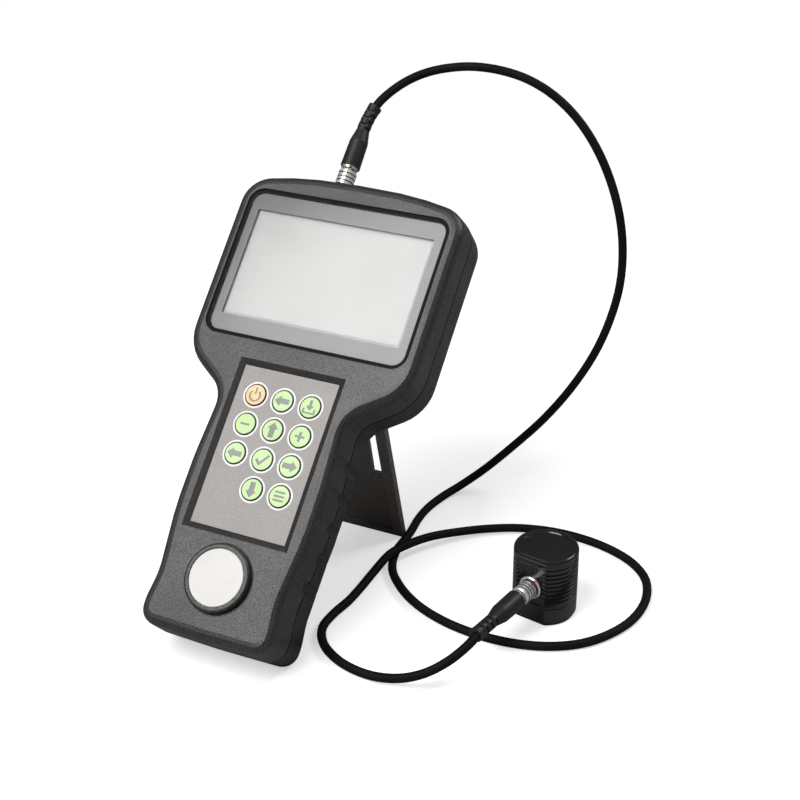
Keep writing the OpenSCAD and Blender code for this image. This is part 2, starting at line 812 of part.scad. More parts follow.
// Stand: a plate with a rim behind it, two long slots, a hinge barrel and a stop nose
module stand() {
    color([0.2, 0.2, 0.21]) difference() {
        placed() translate([0, hinge_y, -hinge_z]) rotate([open_angle, 0, 0]) stand_flat();
        below_table();
    }
}
nose_reach = (hinge_z - pocket_floor - nose_t / 2 * cos(open_angle) - pin_clear) / sin(open_angle);
function stand_half(y) = (stand_head_w - (stand_w - stand_head_w) * y / stand_len) / 2;
module stand_outline(inset, low, high) {
    polygon([[inset - stand_half(low), low], [stand_half(low) - inset, low],
        [stand_half(high) - inset, high], [inset - stand_half(high), high]]);
}
module stand_flat() {
    t = stand_t;
    difference() {
        union() {
            translate([0, 0, -t / 2]) linear_extrude(t) stand_outline(0, -stand_len + t / 2, 0);
            for (y = [0, -stand_len + t / 2]) translate([-stand_half(y), y, 0]) rotate([0, 90, 0])
                cylinder(r = t / 2, h = 2 * stand_half(y));
            translate([-stand_w / 4, 0, -nose_t / 2]) cube([stand_w / 2, nose_reach, nose_t]);
        }
        translate([0, 0, -t / 2 + stand_skin]) linear_extrude(t)
            stand_outline(stand_side_rim, -stand_len + stand_rim, -stand_head);
        for (s = [-1, 1]) translate([s * (slot_x + slot_w / 2) - slot_w / 2, -stand_len + slot_low, -t])
            cube([slot_w, stand_len - slot_low - slot_high, 2 * t]);
        translate([-stand_w / 2 - cut, 0, 0]) rotate([0, 90, 0])
            cylinder(r = pin_d / 2 + pin_clear, h = stand_w + 2 * cut);
    }
}
module pin_shape() {
    translate([-stand_head_w / 2 - play - pin_seat, hinge_y, -hinge_z]) rotate([0, 90, 0])
        cylinder(r = pin_d / 2, h = stand_head_w + 2 * play + 2 * pin_seat);
}
module stand_pin() {
    color([0.75, 0.75, 0.76]) placed() pin_shape();
}

// Plug and socket along +z, with the panel face at zero
module socket_shape() {
    color([0.78, 0.78, 0.78]) difference() {
        union() {
            translate([0, 0, -barrel_len]) cylinder(r = barrel_r, h = barrel_len);
            rotate_extrude() polygon([
                [0, 0], [flange_r, 0], [flange_r, flange_t - edge_bevel],
                [flange_r - edge_bevel, flange_t], [0, flange_t]
            ]);
        }
        translate([0, 0, -socket_bore_len]) cylinder(r = socket_bore_r, h = socket_bore_len + flange_t + cut);
    }
}
module plug_shape() {
    color([0.72, 0.72, 0.72]) {
        translate([0, 0, -nose_len]) cylinder(r = core_r, h = nose_len + nut_at + nut_len - gap);
    }
}
module sleeve_shape() {
    color([0.85, 0.85, 0.85]) translate([0, 0, sleeve_at]) difference() {
        rotate_extrude() polygon([
            [core_r + core_clear, 0], [sleeve_d / 2 - sleeve_bevel, 0], [sleeve_d / 2, sleeve_bevel],
            [sleeve_d / 2, sleeve_len - sleeve_bevel], [sleeve_d / 2 - sleeve_bevel, sleeve_len],
            [core_r + core_clear, sleeve_len]
        ]);
        for (i = [0:sleeve_ribs - 1])
            translate([0, 0, sleeve_len - sleeve_bevel - (i + 1) * (sleeve_rib_w + sleeve_rib_gap) + sleeve_rib_gap / 2])
            difference() {
                cylinder(r = sleeve_d, h = sleeve_rib_gap);
                translate([0, 0, -cut]) cylinder(r = sleeve_d / 2 - sleeve_rib_d, h = sleeve_rib_gap + 2 * cut);
            }
    }
}
module nut_shape() {
    color([0.85, 0.75, 0.5]) translate([0, 0, nut_at]) difference() {
        cylinder(r = nut_r, h = nut_len);
        translate([0, 0, -cut]) cylinder(r = core_r, h = nut_len + 2 * cut);
        for (i = [0:nut_notches - 1]) rotate(i * 360 / nut_notches)
            translate([core_r - gap, -nut_notch_w / 2, -cut]) cube([nut_r, nut_notch_w, nut_notch_l + cut]);
    }
}
module boot_shape(bend) {
    color([0.16, 0.16, 0.16]) translate([0, 0, boot_at]) difference() {
        union() {
            rotate_extrude() polygon([
                [0, 0], [boot_r, 0], [boot_waist_r, boot_len * boot_body_share],
                [boot_neck_r, boot_len * boot_neck_share], [0, boot_len * boot_neck_share]
            ]);
            neck_piece(bend, 0, boot_neck_len, boot_neck_r);
            neck_piece(bend, boot_neck_len - boot_len * (1 - boot_end_share),
                boot_len * (1 - boot_end_share), boot_end_r);
        }
        translate([0, 0, -cut]) cylinder(r = nut_r, h = nut_at + nut_len - boot_at + cut);
        for (i = [0:slots - 1], s = [0, 1])
            on_neck(bend, slot_first + i * slot_pitch + s * slot_pitch / 2) rotate(s * 90)
            for (m = [-1, 1]) translate([m * boot_neck_r, 0, slot_len / 2])
            cube([2 * slot_depth, 2 * boot_neck_r, slot_len], center = true);
    }
}
// The boot's neck bends towards +x along an arc. These stand on it at a distance along it
function bend_r(bend) = boot_neck_len * 180 / (bend * PI);
module on_neck(bend, at) {
    translate([0, 0, boot_len * boot_neck_share])
        if (bend == 0) translate([0, 0, at]) children();
        else translate([bend_r(bend), 0, 0]) rotate([0, bend * at / boot_neck_len, 0])
            translate([-bend_r(bend), 0, 0]) children();
}
module neck_piece(bend, at, length, r) {
    on_neck(bend, at)
        if (bend == 0) cylinder(r = r, h = length);
        else translate([bend_r(bend), 0, 0]) rotate([90, 0, 180])
            rotate_extrude(angle = bend * length / boot_neck_len) translate([bend_r(bend), 0]) circle(r);
}
module top_end() {
    placed() translate([-socket_x, case_len - shoulder_drop, -socket_z]) rotate([-90, 0, 0]) children();
}
module probe_end() {
    probe_placed() translate([0, -probe_d / 2 + flat_in + panel_in, probe_socket_h]) rotate([90, 0, 0])
        children();
}
module top_socket() { top_end() socket_shape(); }
module top_plug() { top_end() plug_shape(); }
module top_sleeve() { top_end() sleeve_shape(); }
module top_nut() { top_end() nut_shape(); }
module top_boot() { top_end() boot_shape(boot_bend); }
module probe_socket() { probe_end() socket_shape(); }
module probe_plug() { probe_end() plug_shape(); }
module probe_sleeve() { probe_end() sleeve_shape(); }
module probe_nut() { probe_end() nut_shape(); }
module probe_boot() { probe_end() boot_shape(0); }

// Probe
module probe_placed() {
    translate([probe_at[0], probe_at[1], 0]) rotate(probe_turn) children();
}
module flat_trim(r, low, high, depth) {
    translate([-r, -r - cut, low - cut]) cube([2 * r, cut + depth, high - low + 2 * cut]);
}
housing_top = probe_h - cap_t;
module probe_housing() {
    r = probe_d / 2;
    color([0.17, 0.17, 0.18]) probe_placed() difference() {
        translate([0, 0, sole_t]) cylinder(r = r, h = housing_top - sole_t);
        flat_trim(r, sole_t, housing_top, flat_in);
        translate([-r * panel_w_share / 2, -r - cut, panel_low])
            cube([r * panel_w_share, cut + flat_in + panel_in, housing_top - panel_low - panel_rim]);
        translate([0, 0, sole_t - cut]) cylinder(r = r - probe_wall, h = housing_top - sole_t - probe_wall + cut);
        for (i = [0:rib_count - 1]) band(r, housing_top - rib_first - i * rib_pitch, rib_w, rib_d);
        band(r, housing_top - cap_groove, cap_groove + cut, cap_groove);
        band(r, belt_h, rib_w / 2, belt_d);
        translate([0, 0, probe_socket_h]) rotate([90, 0, 0]) cylinder(r = barrel_r, h = probe_d);
    }
}
module band(r, z, w, d) {
    translate([0, 0, z]) difference() {
        cylinder(r = r + cut, h = w);
        translate([0, 0, -cut]) cylinder(r = r - d, h = w + 2 * cut);
    }
}
module probe_cap() {
    r = probe_d / 2;
    color([0.15, 0.15, 0.16]) probe_placed() difference() {
        translate([0, 0, housing_top]) rotate_extrude() polygon(concat(
            [[0, 0], [r, 0]],
            [for (a = [0:15:90]) [r - cap_round * (1 - cos(a)), cap_t - cap_round * (1 - sin(a))]],
            [[r - cap_rim, cap_t], [r - cap_rim - cap_sink, cap_t - cap_sink], [0, cap_t - cap_sink]]
        ));
        flat_trim(r, housing_top, probe_h, flat_in);
        flat_trim(r, probe_h - cap_step_h + cut, probe_h, flat_in + cap_step);
    }
}
module probe_sole() {
    r = probe_d / 2 - sole_in;
    color([0.3, 0.3, 0.3]) probe_placed() difference() {
        cylinder(r = r, h = sole_t);
        flat_trim(r, 0, sole_t, flat_in);
    }
}
module probe_coil() {
    color([0.72, 0.45, 0.2]) probe_placed() translate([0, 0, sole_t]) cylinder(r = magnet_d / 2, h = coil_t);
}
module probe_magnet() {
    color([0.7, 0.7, 0.72]) probe_placed() translate([0, 0, sole_t + coil_t])
        cylinder(r = magnet_d / 2, h = magnet_h);
}

// Cable: a tube swept along a smooth curve through the route
function spline(a, b, c, d, t) =
    0.5 * (2 * b + (c - a) * t + (2 * a - 5 * b + 4 * c - d) * t * t
        + (3 * b - a - 3 * c + d) * t * t * t);
route_n = len(route);
cable_line = concat(
    [for (i = [0:route_n - 2], k = [0:rings_per_span - 1])
        spline(route[max(0, i - 1)], route[i], route[i + 1], route[min(route_n - 1, i + 2)],
            k / rings_per_span)],
    [route[route_n - 1]]
);
function unit(v) = v / norm(v);
function along(line, i) = unit(line[min(len(line) - 1, i + 1)] - line[max(0, i - 1)]);
function frames(line, i, u) = i >= len(line) ? [] :
    let (t = along(line, i), v = unit(u - (u * t) * t)) concat([v], frames(line, i + 1, v));
module tube(line, r, sides) {
    ups = frames(line, 0, [1, 0, 0]);
    n = len(line);
    points = [for (i = [0:n - 1], k = [0:sides - 1])
        let (t = along(line, i), u = ups[i], w = cross(t, u), a = k * 360 / sides)
        line[i] + r * (u * cos(a) + w * sin(a))];
    skin = [for (i = [0:n - 2], k = [0:sides - 1])
        let (j = (k + 1) % sides)
        each [[i * sides + k, (i + 1) * sides + j, i * sides + j],
            [i * sides + k, (i + 1) * sides + k, (i + 1) * sides + j]]];
    ends = [[for (k = [0:sides - 1]) k], [for (k = [sides - 1:-1:0]) (n - 1) * sides + k]];
    polyhedron(points = points, faces = concat(skin, ends), convexity = 10);
}
module cable() {
    color([0.17, 0.17, 0.17]) tube(cable_line, cable_d / 2, cable_sides);
}

front_shell();
rear_shell();
window();
window_seal();
lcd_module();
main_board();
board_screws();
keypad_panel();
key_mat();
key_power();
key_back();
key_store();
key_minus();
key_up();
key_plus();
key_left();
key_enter();
key_right();
key_down();
key_menu();
test_disc();
battery_pack();
battery_door();
door_screws();
case_screws();
stand();
stand_pin();
top_socket();
top_plug();
top_sleeve();
top_nut();
top_boot();
cable();
probe_boot();
probe_nut();
probe_sleeve();
probe_plug();
probe_socket();
probe_housing();
probe_cap();
probe_magnet();
probe_coil();
probe_sole();
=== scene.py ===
"""Looks of a hand-held ultrasonic thickness gauge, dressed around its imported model.

Lengths are in metres. What lies on the case is drawn in millimetres in the case's own axes,
x across, y along the body, z out of the face, and CASE carries it to its place.
"""

import json
import math

import bmesh
import bpy
from mathutils import Matrix, Vector


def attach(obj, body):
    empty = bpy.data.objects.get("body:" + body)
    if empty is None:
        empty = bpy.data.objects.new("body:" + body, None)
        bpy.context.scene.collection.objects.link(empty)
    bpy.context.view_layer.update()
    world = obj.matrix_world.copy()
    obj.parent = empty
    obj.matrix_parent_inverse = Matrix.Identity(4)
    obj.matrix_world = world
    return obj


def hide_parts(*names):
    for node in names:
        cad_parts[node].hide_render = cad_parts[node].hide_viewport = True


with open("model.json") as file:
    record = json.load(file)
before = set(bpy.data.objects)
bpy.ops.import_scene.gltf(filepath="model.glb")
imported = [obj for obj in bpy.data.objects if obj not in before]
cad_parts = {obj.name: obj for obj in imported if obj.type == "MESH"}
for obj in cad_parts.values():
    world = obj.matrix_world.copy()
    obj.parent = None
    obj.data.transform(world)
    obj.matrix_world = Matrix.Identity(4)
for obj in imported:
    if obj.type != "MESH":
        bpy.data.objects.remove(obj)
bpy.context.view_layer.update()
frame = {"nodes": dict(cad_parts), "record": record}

MM = 0.001
QUARTER = math.radians(90)
BODY = "gauge"

# The case leans back on its heel by this angle, and its lower end is shifted by this much
LEAN = math.radians(45.30613)
CASE_SHIFT = Vector((0, -28.249, 23.890)) * MM
CASE = Matrix.Translation(CASE_SHIFT) @ Matrix.Rotation(LEAN, 4, "X") @ Matrix.Scale(MM, 4)

# Camera of the photograph
CAMERA_AT = Vector((0.345412, -0.516406, 0.456404))
CAMERA_RIGHT = Vector((0.8977, 0.44059, -0.00446))
CAMERA_UP = Vector((-0.20047, 0.41743, 0.88632))
CAMERA_LENS = 70.94
CAMERA_SENSOR = 36

# Cable: its sizes, its exit from the top plug, and its route to the probe's plug
CABLE_DIAMETER = 0.0045
CABLE_STEPS = 4
CABLE_SIDES_RESOLUTION = 5
CABLE_ROUTE = [
    (-0.0134, 0.1813, 0.2144), (-0.0108, 0.1862, 0.2188), (-0.0064, 0.1926, 0.2234),
    (-0.0006, 0.1988, 0.2274), (0.007, 0.2043, 0.2306), (0.017, 0.2092, 0.2328),
    (0.029, 0.213, 0.2338), (0.043, 0.216, 0.2326), (0.057, 0.2185, 0.2288),
    (0.0705, 0.2205, 0.2215), (0.0828, 0.2215, 0.211), (0.0932, 0.2222, 0.1974),
    (0.1015, 0.2228, 0.1812), (0.1075, 0.2233, 0.163), (0.1106, 0.2232, 0.144),
    (0.1106, 0.2224, 0.124), (0.107, 0.2202, 0.1036), (0.1004, 0.2168, 0.0834),
    (0.09, 0.2122, 0.0628), (0.077, 0.207, 0.0434), (0.0625, 0.2008, 0.0264),
    (0.0495, 0.192, 0.013), (0.0395, 0.1815, 0.0052), (0.0335, 0.1695, 0.0026),
    (0.031, 0.156, 0.0023), (0.031, 0.143, 0.0023), (0.0332, 0.127, 0.0023),
    (0.0344, 0.108, 0.0023), (0.04, 0.0922, 0.0023), (0.0495, 0.0808, 0.0023),
    (0.0605, 0.072, 0.0023), (0.073, 0.0655, 0.0023), (0.0875, 0.061, 0.0023),
    (0.1035, 0.059, 0.0023), (0.12, 0.06, 0.0023), (0.136, 0.0648, 0.0023),
    (0.15, 0.074, 0.0023), (0.16, 0.0875, 0.0023), (0.166, 0.104, 0.0023),
    (0.1665, 0.122, 0.0023), (0.161, 0.139, 0.0023), (0.15, 0.151, 0.0023),
    (0.135, 0.1585, 0.0023), (0.1185, 0.162, 0.0023), (0.1015, 0.1618, 0.0023),
    (0.0845, 0.1575, 0.0023), (0.07, 0.149, 0.0028), (0.058, 0.137, 0.0044),
    (0.048, 0.1232, 0.0066), (0.041, 0.1103, 0.0074), (0.036, 0.0972, 0.0072),
    (0.0338, 0.083, 0.004), (0.0332, 0.07, 0.0024), (0.033, 0.057, 0.0023),
    (0.0315, 0.0445, 0.0023), (0.032, 0.032, 0.0023), (0.0375, 0.0218, 0.0023),
    (0.0462, 0.0145, 0.0023), (0.0578, 0.0095, 0.0023), (0.0713, 0.0078, 0.0026),
    (0.085, 0.0082, 0.0054), (0.0965, 0.0115, 0.0098), (0.105, 0.018, 0.0147),
    (0.1102, 0.027, 0.0185), (0.112, 0.036, 0.02),
]

# Plugs, each in its own axes with z outward: where they are, and the red dots that line them up
TOP_PLUG_AT = (-15, 235.8, -15)
PROBE_AT = (122, 97, 0)
PROBE_TURN = math.radians(-10)
PROBE_PLUG_AT = (0, -13.3, 20)
TOP_PLUG = CASE @ Matrix.Translation(TOP_PLUG_AT) @ Matrix.Rotation(-QUARTER, 4, "X")
PROBE_PLUG = (Matrix.Scale(MM, 4)
              @ Matrix.Translation(PROBE_AT) @ Matrix.Rotation(PROBE_TURN, 4, "Z")
              @ Matrix.Translation(PROBE_PLUG_AT) @ Matrix.Rotation(QUARTER, 4, "X"))
DOT_RADIUS = 0.62
DOT_SINK = 0.06
DOT_STEPS = 16
FLANGE_DOT = (5.3, 1.4)
SLEEVE_DOT = (4.7, 2.9)
TOP_DOT_TURN = 100
PROBE_DOT_TURN = 62

# Joint between the shells, in the case's axes: its level at the head and at the grip, the
# stretch of the case on which it drops, and half its width. The moulded looks paint the
# groove there near black, as painted shade
JOINT_HEAD = -15.4
JOINT_GRIP = -19.4
JOINT_SLOPE = (70, 150)
JOINT_HALF = 0.42

# Screen and keypad, in the case's axes
SCREEN_Y = 185.1
WINDOW_SIZE = (107, 74.8)
WINDOW_CORNER = 6
VIEW_SIZE = (97.7, 56.9)
VIEW_CORNER = 0.6
PRINT_TOP = -1.6
PRINT_BOTTOM = -1.69
LIT_SIZE = (95, 53.9)
LIT_TOP = -2.9
LIT_BOTTOM = -3.0
KEY_PITCH = 15
KEYS_Y = 119.405
KEY_RADIUS = 5.6
KEY_TOP = -1.3
KEY_EDGE = 0.4
PANEL_TOP = -1.8
RIM_INNER = 5.0
RING_INNER = 5.78
RING_OUTER = 6.65
RING_TOP = PANEL_TOP + 0.06
ROUND_STEPS = 64
CORNER_STEPS = 8

# Print on a key: its thickness, what each next part of a symbol adds to it, and the shift of
# the painted shadow under the symbol, a dark copy that stands in for the shade beside a raised
# symbol
INK = 0.03
INK_STEP = 0.2
SYMBOL_SHADOW_SHIFT = (-0.2, -0.1)

# Keys by name, each with its column and its row
KEY_CELLS = {
    "power": (-1, 0), "back": (0, 0), "store": (1, 0),
    "minus": (-1, 1), "up": (0, 1), "plus": (1, 1),
    "left": (-1, 2), "enter": (0, 2), "right": (1, 2),
    "down": (0, 3), "menu": (1, 3),
}

# Sizes of the noises in the looks
MOULDED_PATCHES = 0.03
SATIN_PATCHES = 0.02
PLATED_PATCHES = 0.004
PLATED_LINES = 0.0003
PLATED_LINE_DEPTH = 0.000008
WINDOW_PATCHES = 0.05

# Changes of roughness that the noises bring
MOULDED_DRIFT = 0.04
GRAIN_DRIFT = 0.05
SATIN_DRIFT = 0.04
PLATED_DULLING = 0.15

# Share of the lighter shade on rubbed places
RUBBED = 0.35

# Window: roughness between two values, and the share of its mirroring that it does itself. The
# print and the display under it do the rest with a coat, which renders without noise
WINDOW_ROUGHNESS = (0.16, 0.19)
WINDOW_SHARE = 0.15
WINDOW_IOR = 1.5
WINDOW_TINT = (0.975, 0.975, 0.972, 1)
UNDER_WINDOW = {"depth": 0, "shine": 0, "coat": 1, "haze": 0.17}

# Light. Brightness of the sky by its height, from 0 at the horizon to 1 overhead
SKY = [(0, 0.13), (0.5, 0.12), (0.85, 0.32), (1, 0.34)]
FLOOR_SIZE = 8
FLOOR_FADE = (0.35, 0.8)
FLOOR_GLOW = 0.52
FLOOR_ROUGHNESS = 0.9
FLOOR_SHADE = 0.8
FLOOR_BOUNCE = 0.8
FLOOR_MIRRORED = 0.34
AIM = (0.05, 0.06, 0.1)
SOFTBOX = {"at": (-0.37, -0.91, 1.44), "size": 1.25, "watts": 26.5}
RIM_LAMP = {"at": (0.75, 0.95, 1.1), "size": 0.5, "watts": 7}

# Sockets of a node that mixes two colours
MIX_FIRST = 6
MIX_SECOND = 7
MIX_RESULT = 2


def srgb(red, green, blue):
    """Linear colour of a display colour given from 0 to 255."""
    def linear(v):
        v /= 255
        return v / 12.92 if v <= 0.04045 else ((v + 0.055) / 1.055) ** 2.4
    return (linear(red), linear(green), linear(blue), 1)


def grey(level, blue=None):
    """Linear grey, with its blue part apart where it is tinted."""
    return (level, level, level if blue is None else blue, 1)


# Painted shade: near black, in the groove between the shells
JOINT_SHADE = srgb(2, 2, 2)
# Painted shade: grey for plated metal down in its grooves
HOLLOW_SHADE = srgb(52, 52, 52)


class Look:
    """A procedural material: its node tree and the few steps that all the looks here take."""

    def __init__(self, name, roughness=0.5, metallic=0.0, shine=0.5, coat=0.0, haze=0.1):
        self.material = bpy.data.materials.new(name)
        self.material.use_nodes = True
        self.nodes = self.material.node_tree.nodes
        self.links = self.material.node_tree.links
        self.shader = self.nodes["Principled BSDF"]
        self.output = self.nodes["Material Output"]
        for socket, value in (("Roughness", roughness), ("Metallic", metallic),
                              ("Specular IOR Level", shine),
                              ("Coat Weight", coat), ("Coat Roughness", haze)):
            self.shader.inputs[socket].default_value = value
        self.place = self.nodes.new("ShaderNodeTexCoord").outputs["Object"]

    def feed(self, socket, value):
        """Give a node's socket a number, a colour or another node's output."""
        if isinstance(value, bpy.types.NodeSocket):
            self.links.new(value, socket)
        else:
            socket.default_value = value

    def noise(self, size, detail):
        """Noise with features of a size in metres."""
        mapping = self.nodes.new("ShaderNodeMapping")
        mapping.inputs["Scale"].default_value = [1 / size] * 3
        self.links.new(self.place, mapping.inputs["Vector"])
        node = self.nodes.new("ShaderNodeTexNoise")
        node.inputs["Scale"].default_value = 1
        node.inputs["Detail"].default_value = detail
        self.links.new(mapping.outputs["Vector"], node.inputs["Vector"])
        return node.outputs["Fac"]

    def remap(self, value, low, high, to_low, to_high):
        """The value's stretch from low to high, carried to another range."""
        node = self.nodes.new("ShaderNodeMapRange")
        for name, number in (("From Min", low), ("From Max", high),
                             ("To Min", to_low), ("To Max", to_high)):
            node.inputs[name].default_value = number
        self.links.new(value, node.inputs["Value"])
        return node.outputs["Result"]

    def mix(self, share, first, second):
        """Colour between two others."""
        node = self.nodes.new("ShaderNodeMix")
        node.data_type = "RGBA"
        self.links.new(share, node.inputs["Factor"])
        self.feed(node.inputs[MIX_FIRST], first)
        self.feed(node.inputs[MIX_SECOND], second)
        return node.outputs[MIX_RESULT]

    def calculate(self, operation, first, second=0.0):
        """Sum, difference or the like of two values."""
        node = self.nodes.new("ShaderNodeMath")
        node.operation = operation
        self.feed(node.inputs[0], first)
        self.feed(node.inputs[1], second)
        return node.outputs["Value"]

    def paint(self, colour):
        self.links.new(colour, self.shader.inputs["Base Color"])

    def roughen(self, value):
        self.links.new(value, self.shader.inputs["Roughness"])

    def bump(self, height, depth, edge=0.0):
        """Relief of a depth in metres, on edges that are broken by a small round."""
        node = self.nodes.new("ShaderNodeBump")
        node.inputs["Distance"].default_value = depth
        self.links.new(height, node.inputs["Height"])
        if edge:
            broken = self.nodes.new("ShaderNodeBevel")
            broken.inputs["Radius"].default_value = edge
            self.links.new(broken.outputs["Normal"], node.inputs["Normal"])
        self.links.new(node.outputs["Normal"], self.shader.inputs["Normal"])

    def open_share(self, reach):
        """1 on open surfaces, and 0 down in grooves narrower than the reach, where painted shade
        goes.
        """
        node = self.nodes.new("ShaderNodeAmbientOcclusion")
        node.inputs["Distance"].default_value = reach
        return self.remap(node.outputs["AO"], 0.5, 0.95, 0, 1)

    def joint_shade_mask(self):
        """1 in the groove between the shells of the case, which is painted near black as shade,
        and 0 elsewhere.
        """
        mapping = self.nodes.new("ShaderNodeMapping")
        mapping.vector_type = "TEXTURE"
        mapping.inputs["Location"].default_value = CASE_SHIFT
        mapping.inputs["Rotation"].default_value = (LEAN, 0, 0)
        mapping.inputs["Scale"].default_value = (MM, MM, MM)
        split = self.nodes.new("ShaderNodeSeparateXYZ")
        self.links.new(self.place, mapping.inputs["Vector"])
        self.links.new(mapping.outputs["Vector"], split.inputs["Vector"])
        level = self.remap(split.outputs["Y"], *JOINT_SLOPE, JOINT_GRIP, JOINT_HEAD)
        level.node.interpolation_type = "SMOOTHSTEP"
        off = self.calculate("ABSOLUTE", self.calculate("SUBTRACT", split.outputs["Z"], level))
        return self.calculate("LESS_THAN", off, JOINT_HALF)


def moulded(name, dark, light, roughness, grain=0.0007, depth=0.00006, shine=0.5, edge=0.0005):
    """Plastic with a spark-eroded grain, a faint mottle, a few rubbed, smoother places, and
    painted shade, near black, in the groove between the shells.
    """
    look = Look(name, shine=shine)
    fine = look.noise(grain, detail=3)
    broad = look.noise(MOULDED_PATCHES, detail=4)
    mottle = look.mix(look.remap(fine, 0.4, 0.6, 0, 1), dark, light)
    rubbed = look.mix(look.remap(broad, 0.5, 0.8, 0, RUBBED), mottle, light)
    # Painted shade: the groove between the shells is painted near black
    look.paint(look.mix(look.joint_shade_mask(), rubbed, JOINT_SHADE))
    worn = look.remap(broad, 0.3, 0.7, roughness + MOULDED_DRIFT, roughness - MOULDED_DRIFT)
    pitted = look.remap(fine, 0.4, 0.6, GRAIN_DRIFT, -GRAIN_DRIFT)
    look.roughen(look.calculate("ADD", worn, pitted))
    look.bump(fine, depth, edge)
    return look.material


def satin(name, colour, other, roughness, grain=0.0004, depth=0.00001, shine=0.5, coat=0.0,
          haze=0.12, edge=0.0):
    """Smooth surface with a soft change of shade and, where it has a depth, a fine grain."""
    look = Look(name, roughness=roughness, shine=shine, coat=coat, haze=haze)
    broad = look.noise(SATIN_PATCHES, detail=3)
    look.paint(look.mix(look.remap(broad, 0.35, 0.65, 0, 1), colour, other))
    if depth:
        fine = look.noise(grain, detail=2)
        look.roughen(look.remap(fine, 0.3, 0.7, roughness - SATIN_DRIFT, roughness + SATIN_DRIFT))
        look.bump(fine, depth, edge)
    return look.material


def plated(name, colour, other, roughness, metallic=1.0, groove=0.0):
    """Turned and plated metal, with fine lines and a few dull places, and painted shade, a dark
    grey, down in its grooves.
    """
    look = Look(name, metallic=metallic)
    fine = look.noise(PLATED_LINES, detail=3)
    broad = look.noise(PLATED_PATCHES, detail=3)
    worn = look.mix(look.remap(broad, 0.4, 0.7, 0, 1), colour, other)
    # Painted shade: grooves darkened through ambient occlusion
    look.paint(look.mix(look.open_share(groove), HOLLOW_SHADE, worn) if groove else worn)
    look.roughen(look.remap(broad, 0.35, 0.75, roughness, roughness + PLATED_DULLING))
    look.bump(fine, PLATED_LINE_DEPTH)
    return look.material


def clear(name):
    """Hard clear sheet: it mirrors a little, more where it is seen at a slope."""
    look = Look(name)
    glossy = look.nodes.new("ShaderNodeBsdfGlossy")
    see_through = look.nodes.new("ShaderNodeBsdfTransparent")
    slope = look.nodes.new("ShaderNodeFresnel")
    blend = look.nodes.new("ShaderNodeMixShader")
    slope.inputs["IOR"].default_value = WINDOW_IOR
    see_through.inputs["Color"].default_value = WINDOW_TINT
    patches = look.noise(WINDOW_PATCHES, detail=3)
    look.links.new(look.remap(patches, 0.3, 0.7, *WINDOW_ROUGHNESS), glossy.inputs["Roughness"])
    look.links.new(look.remap(slope.outputs["Fac"], 0, 1, 0, WINDOW_SHARE), blend.inputs["Fac"])
    look.links.new(see_through.outputs["BSDF"], blend.inputs[1])
    look.links.new(glossy.outputs["BSDF"], blend.inputs[2])
    look.links.new(blend.outputs["Shader"], look.output.inputs["Surface"])
    return look.material


def case_looks():
    """Shells, stand, window, display and test disc."""
    return {
        "shell_light": moulded("shell_front_grain", srgb(4, 4, 4), srgb(51, 47, 45), 0.43,
                               grain=0.0006, depth=0.00012, shine=0.75),
        "shell_dark": moulded("shell_rear_grain", srgb(8, 7, 7), srgb(38, 35, 33), 0.42,
                              grain=0.0006, depth=0.0001, shine=0.4),
        # Painted light: the stand is a lighter copy of the case plastic, standing in for fill
        # light its shaded face lacks
        "stand": moulded("stand_lightened_grain", srgb(68, 64, 61), srgb(94, 89, 85), 0.5),
        "window": clear("window_clear"),
        "border": satin("window_border", srgb(110, 110, 111), srgb(117, 116, 115), 0.5,
                        **UNDER_WINDOW),
        "lit": satin("screen_glass", srgb(190, 190, 190), srgb(196, 196, 195), 0.5,
                     **UNDER_WINDOW),
        "lcd": satin("screen_frame", srgb(178, 181, 184), srgb(186, 189, 191), 0.4),
        "black_trim": satin("seal_rubber", srgb(6, 6, 6), srgb(14, 14, 14), 0.5, shine=0.1),
        "ceramic": satin("disc_white", srgb(212, 210, 206), srgb(220, 218, 215), 0.3),
    }


def keypad_looks():
    """Panel, keys and their print."""
    return {
        "panel": moulded("keypad_overlay", srgb(149, 145, 142), srgb(159, 155, 152), 0.42,
                         grain=0.0006, depth=0.00005, edge=0),
        "white_ink": satin("ring_ink", srgb(244, 244, 242), srgb(250, 250, 249), 0.5),
        "grey_ink": satin("symbol_ink", srgb(142, 144, 138), srgb(154, 156, 150), 0.5),
        # Dark green for the outline on each key's edge, and for the painted shadow under each
        # symbol
        "dark_ink": satin("key_outline_and_symbol_shadow", srgb(36, 44, 28), srgb(46, 54, 36), 0.45),
        "key_green": satin("key_green", srgb(178, 216, 136), srgb(192, 224, 154), 0.32, coat=0.2),
        "key_amber": satin("key_amber", srgb(244, 186, 118), srgb(250, 200, 140), 0.32, coat=0.2),
    }


def inner_looks():
    """What the closed case and the probe hold."""
    return {
        "silicone": satin("mat_silicone", srgb(190, 190, 186), srgb(205, 205, 200), 0.6),
        "battery": satin("battery_wrap", srgb(40, 70, 120), srgb(50, 84, 140), 0.4),
        "board": satin("board_green", srgb(20, 84, 52), srgb(28, 100, 62), 0.45),
        "screws": plated("screw_steel", grey(0.5), grey(0.38), 0.3),
        "magnet": plated("magnet_plate", grey(0.6, 0.62), grey(0.5, 0.52), 0.25),
        "copper": plated("coil_copper", (0.85, 0.5, 0.3, 1), (0.7, 0.4, 0.24, 1), 0.35),
    }


